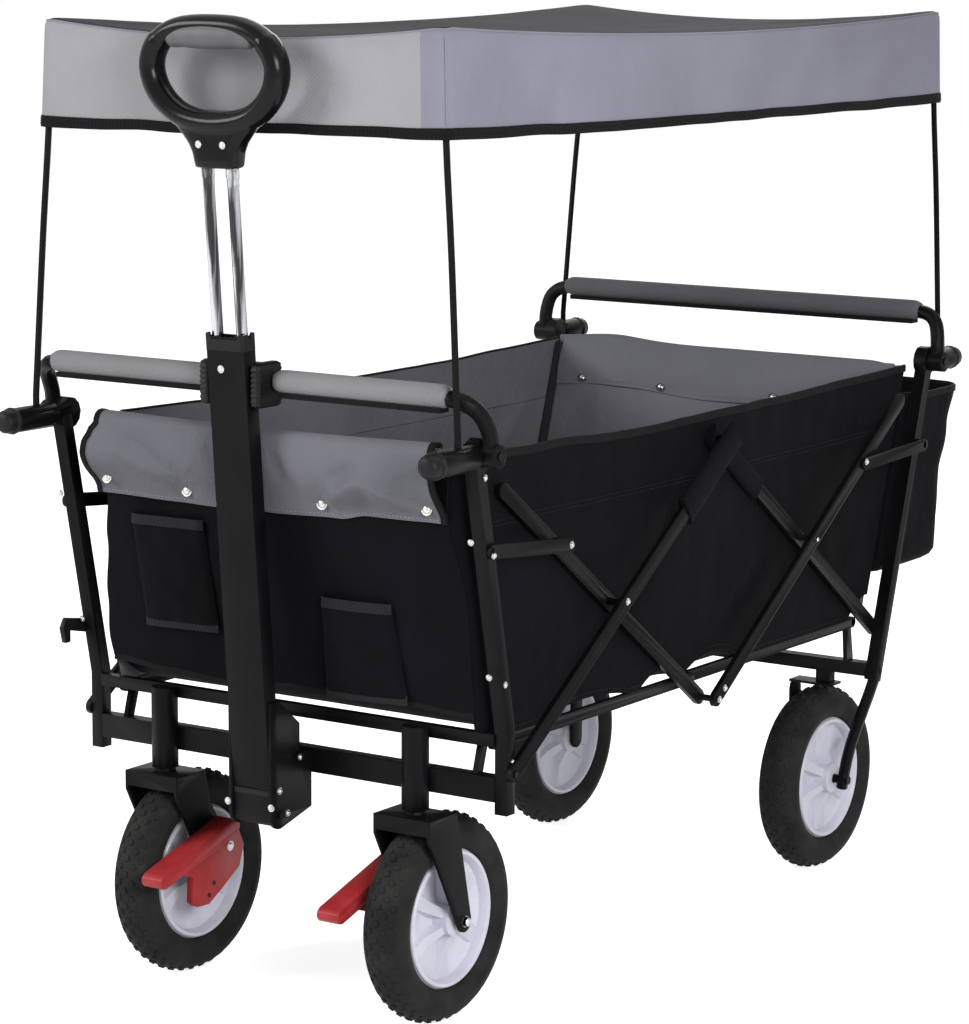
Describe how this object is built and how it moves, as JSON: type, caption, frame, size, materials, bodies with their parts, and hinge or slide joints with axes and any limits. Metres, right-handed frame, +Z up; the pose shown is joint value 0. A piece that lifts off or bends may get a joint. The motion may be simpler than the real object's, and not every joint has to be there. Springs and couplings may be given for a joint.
{
  "type": "pushchair",
  "caption": "Folding wagon pushchair with a canopy, push bars, a telescopic pull handle, braked swivel front wheels, and scissor side bars that draw its ends together.",
  "frame": {"origin": "on the ground, in the middle of the overall footprint", "axes": "-Y towards the front with the pull handle, +X towards the right side bars, +Z up"},
  "size_m": [0.5516, 1.1218, 0.9799],
  "materials": {
    "frame": "satin black powder coat",
    "bright_rods": "bright plated",
    "plastic": "fine matt moulded",
    "tyre": "dark moulded rubber",
    "rim": "pale moulded",
    "brake": "red moulded",
    "foam": "grey closed-cell foam",
    "grey_cloth": "coated woven",
    "lining": "coated woven",
    "black_cloth": "coated woven"
  },
  "bodies": {
    "front_frame": {"front_post_left": "frame", "front_post_right": "frame", "front_chassis": "frame", "handle_bracket": "frame", "front_panel": "grey_cloth", "tub_cloth": "black_cloth", "canopy_cloth": "grey_cloth", "front_canopy_rod_left": "frame", "front_canopy_rod_right": "frame"},
    "rear_frame": {"rear_post_left": "frame", "rear_post_right": "frame", "rear_crossbar": "frame", "rear_panel": "lining", "rear_bag": "black_cloth", "rear_canopy_rod_left": "frame", "rear_canopy_rod_right": "frame"},
    "front_push": {"front_push_bar": "frame", "front_pad_left": "foam", "front_pad_right": "foam", "handle_clip": "plastic"},
    "rear_push": {"rear_push_bar": "frame", "rear_pad": "foam"},
    "pull_handle": {"handle_sleeve": "frame"},
    "pull_rods": {"handle_rods": "bright_rods", "handle_grip": "plastic"},
    "front_floor": {"front_rail_left": "frame", "front_rail_right": "frame", "front_floor_board": "lining"},
    "rear_floor": {"rear_rail_left": "frame", "rear_rail_right": "frame", "rear_floor_board": "lining"},
    "fold_latch": {"fold_latch": "plastic"},
    "front_riser_left": {"front_riser_left": "frame"},
    "front_cross_left": {"front_cross_left": "frame"},
    "rear_cross_left": {"rear_cross_left": "frame"},
    "rear_riser_left": {"rear_riser_left": "frame"},
    "front_link_left": {"front_link_left": "frame"},
    "rear_link_left": {"rear_link_left": "frame"},
    "front_riser_right": {"front_riser_right": "frame"},
    "front_cross_right": {"front_cross_right": "frame"},
    "rear_cross_right": {"rear_cross_right": "frame"},
    "rear_riser_right": {"rear_riser_right": "frame"},
    "front_link_right": {"front_link_right": "frame"},
    "rear_link_right": {"rear_link_right": "frame"},
    "caster_left": {"caster_fork_left": "frame"},
    "front_left_wheel": {"front_left_tyre": "tyre", "front_left_rim": "rim"},
    "rear_left_wheel": {"rear_left_tyre": "tyre", "rear_left_rim": "rim"},
    "brake_left": {"brake_pedal_left": "brake"},
    "front_knob_left": {"front_knob_left": "plastic"},
    "rear_knob_left": {"rear_knob_left": "plastic"},
    "caster_right": {"caster_fork_right": "frame"},
    "front_right_wheel": {"front_right_tyre": "tyre", "front_right_rim": "rim"},
    "rear_right_wheel": {"rear_right_tyre": "tyre", "rear_right_rim": "rim"},
    "brake_right": {"brake_pedal_right": "brake"},
    "front_knob_right": {"front_knob_right": "plastic"},
    "rear_knob_right": {"rear_knob_right": "plastic"}
  },
  "joints": [
    {"name": "fold", "type": "hinge", "parent": "front_frame", "child": "front_riser_right", "pos_m": [0.2563, -0.42208, 0.267], "axis": [1, 0, 0], "range_deg": [0, 38], "deforming": ["tub_cloth", "canopy_cloth"]},
    {"name": "fold_left", "type": "hinge", "parent": "front_frame", "child": "front_riser_left", "pos_m": [-0.2563, -0.42208, 0.267], "axis": [1, 0, 0], "range_deg": [0, 38]},
    {"name": "front_cross_left_turn", "type": "hinge", "parent": "front_riser_left", "child": "front_cross_left", "pos_m": [-0.2417, -0.22311, 0.40121], "axis": [1, 0, 0], "range_deg": [-76, 0]},
    {"name": "rear_cross_left_turn", "type": "hinge", "parent": "front_riser_left", "child": "rear_cross_left", "pos_m": [-0.2417, -0.01668, 0.54044], "axis": [1, 0, 0], "range_deg": [-76, 0]},
    {"name": "rear_riser_left_turn", "type": "hinge", "parent": "rear_cross_left", "child": "rear_riser_left", "pos_m": [-0.2563, 0.16446, 0.41124], "axis": [1, 0, 0], "range_deg": [0, 76]},
    {"name": "front_cross_right_turn", "type": "hinge", "parent": "front_riser_right", "child": "front_cross_right", "pos_m": [0.2417, -0.22311, 0.40121], "axis": [1, 0, 0], "range_deg": [-76, 0]},
    {"name": "rear_cross_right_turn", "type": "hinge", "parent": "front_riser_right", "child": "rear_cross_right", "pos_m": [0.2417, -0.01668, 0.54044], "axis": [1, 0, 0], "range_deg": [-76, 0]},
    {"name": "rear_riser_right_turn", "type": "hinge", "parent": "rear_cross_right", "child": "rear_riser_right", "pos_m": [0.2563, 0.16446, 0.41124], "axis": [1, 0, 0], "range_deg": [0, 76]},
    {"name": "rear_frame_turn", "type": "hinge", "parent": "rear_cross_right", "child": "rear_frame", "pos_m": [0.2417, 0.34519, 0.28232], "axis": [1, 0, 0], "range_deg": [0, 38]},
    {"name": "front_link_left_turn", "type": "hinge", "parent": "front_frame", "child": "front_link_left", "pos_m": [-0.2563, -0.45724, 0.486], "axis": [1, 0, 0], "range_deg": [0, 68.4]},
    {"name": "rear_link_left_turn", "type": "hinge", "parent": "rear_frame", "child": "rear_link_left", "pos_m": [-0.2626, 0.40902, 0.486], "axis": [1, 0, 0], "range_deg": [-60.8, 0]},
    {"name": "front_link_right_turn", "type": "hinge", "parent": "front_frame", "child": "front_link_right", "pos_m": [0.2563, -0.45724, 0.486], "axis": [1, 0, 0], "range_deg": [0, 68.4]},
    {"name": "rear_link_right_turn", "type": "hinge", "parent": "rear_frame", "child": "rear_link_right", "pos_m": [0.2626, 0.40902, 0.486], "axis": [1, 0, 0], "range_deg": [-60.8, 0]},
    {"name": "front_floor_lift", "type": "hinge", "parent": "front_frame", "child": "front_floor", "pos_m": [0, -0.40808, 0.29025], "axis": [1, 0, 0], "range_deg": [0, 70.8]},
    {"name": "rear_floor_lift", "type": "hinge", "parent": "rear_frame", "child": "rear_floor", "pos_m": [0, 0.32568, 0.29025], "axis": [1, 0, 0], "range_deg": [-70.8, 0]},
    {"name": "front_bar_swing", "type": "hinge", "parent": "front_frame", "child": "front_push", "pos_m": [0, -0.47012, 0.578], "axis": [-1, 0, 0], "range_deg": [0, 80]},
    {"name": "rear_bar_swing", "type": "hinge", "parent": "rear_frame", "child": "rear_push", "pos_m": [0, 0.43785, 0.578], "axis": [1, 0, 0], "range_deg": [0, 80]},
    {"name": "handle_tilt", "type": "hinge", "parent": "front_frame", "child": "pull_handle", "pos_m": [0, -0.47968, 0.205], "axis": [1, 0, 0], "range_deg": [0, 80]},
    {"name": "handle_slide", "type": "slide", "parent": "pull_handle", "child": "pull_rods", "axis": [0, -0.0854, 0.9963], "range_m": [-0.15, 0.18]},
    {"name": "caster_left_swivel", "type": "hinge", "parent": "front_frame", "child": "caster_left", "pos_m": [-0.1545, -0.43358, 0.2135], "axis": [0, 0, 1], "continuous": true},
    {"name": "front_left_spin", "type": "hinge", "parent": "caster_left", "child": "front_left_wheel", "pos_m": [-0.1545, -0.39608, 0.105], "axis": [1, 0, 0], "continuous": true},
    {"name": "rear_left_spin", "type": "hinge", "parent": "rear_frame", "child": "rear_left_wheel", "pos_m": [-0.1766, 0.3323, 0.105], "axis": [1, 0, 0], "continuous": true},
    {"name": "brake_left_press", "type": "hinge", "parent": "caster_left", "child": "brake_left", "pos_m": [-0.1215, -0.38808, 0.146], "axis": [1, 0, 0], "range_deg": [0, 12]},
    {"name": "front_knob_left_turn", "type": "hinge", "parent": "front_frame", "child": "front_knob_left", "pos_m": [-0.2536, -0.54292, 0.577], "axis": [0, 1, 0], "continuous": true},
    {"name": "rear_knob_left_turn", "type": "hinge", "parent": "rear_frame", "child": "rear_knob_left", "pos_m": [-0.2536, 0.48715, 0.577], "axis": [0, 1, 0], "continuous": true},
    {"name": "caster_right_swivel", "type": "hinge", "parent": "front_frame", "child": "caster_right", "pos_m": [0.1545, -0.43358, 0.2135], "axis": [0, 0, 1], "continuous": true},
    {"name": "front_right_spin", "type": "hinge", "parent": "caster_right", "child": "front_right_wheel", "pos_m": [0.1545, -0.39608, 0.105], "axis": [1, 0, 0], "continuous": true},
    {"name": "rear_right_spin", "type": "hinge", "parent": "rear_frame", "child": "rear_right_wheel", "pos_m": [0.1766, 0.3323, 0.105], "axis": [1, 0, 0], "continuous": true},
    {"name": "brake_right_press", "type": "hinge", "parent": "caster_right", "child": "brake_right", "pos_m": [0.1215, -0.38808, 0.146], "axis": [1, 0, 0], "range_deg": [0, 12]},
    {"name": "front_knob_right_turn", "type": "hinge", "parent": "front_frame", "child": "front_knob_right", "pos_m": [0.2536, -0.54292, 0.577], "axis": [0, 1, 0], "continuous": true},
    {"name": "rear_knob_right_turn", "type": "hinge", "parent": "rear_frame", "child": "rear_knob_right", "pos_m": [0.2536, 0.48715, 0.577], "axis": [0, 1, 0], "continuous": true},
    {"name": "latch_turn", "type": "hinge", "parent": "front_frame", "child": "fold_latch", "pos_m": [-0.2563, -0.42973, 0.352], "axis": [1, 0, 0], "range_deg": [0, 60]}
  ],
  "couplings": [
    {"joint": "fold_left", "follows": "fold", "ratio": 1},
    {"joint": "front_cross_left_turn", "follows": "fold", "ratio": -2},
    {"joint": "rear_cross_left_turn", "follows": "fold", "ratio": -2},
    {"joint": "rear_riser_left_turn", "follows": "fold", "ratio": 2},
    {"joint": "front_cross_right_turn", "follows": "fold", "ratio": -2},
    {"joint": "rear_cross_right_turn", "follows": "fold", "ratio": -2},
    {"joint": "rear_riser_right_turn", "follows": "fold", "ratio": 2},
    {"joint": "rear_frame_turn", "follows": "fold", "ratio": 1},
    {"joint": "front_link_left_turn", "follows": "fold", "ratio": 1.8},
    {"joint": "rear_link_left_turn", "follows": "fold", "ratio": -1.6},
    {"joint": "front_link_right_turn", "follows": "fold", "ratio": 1.8},
    {"joint": "rear_link_right_turn", "follows": "fold", "ratio": -1.6},
    {"joint": "front_floor_lift", "follows": "fold", "ratio": 1.863},
    {"joint": "rear_floor_lift", "follows": "fold", "ratio": -1.863}
  ]
}
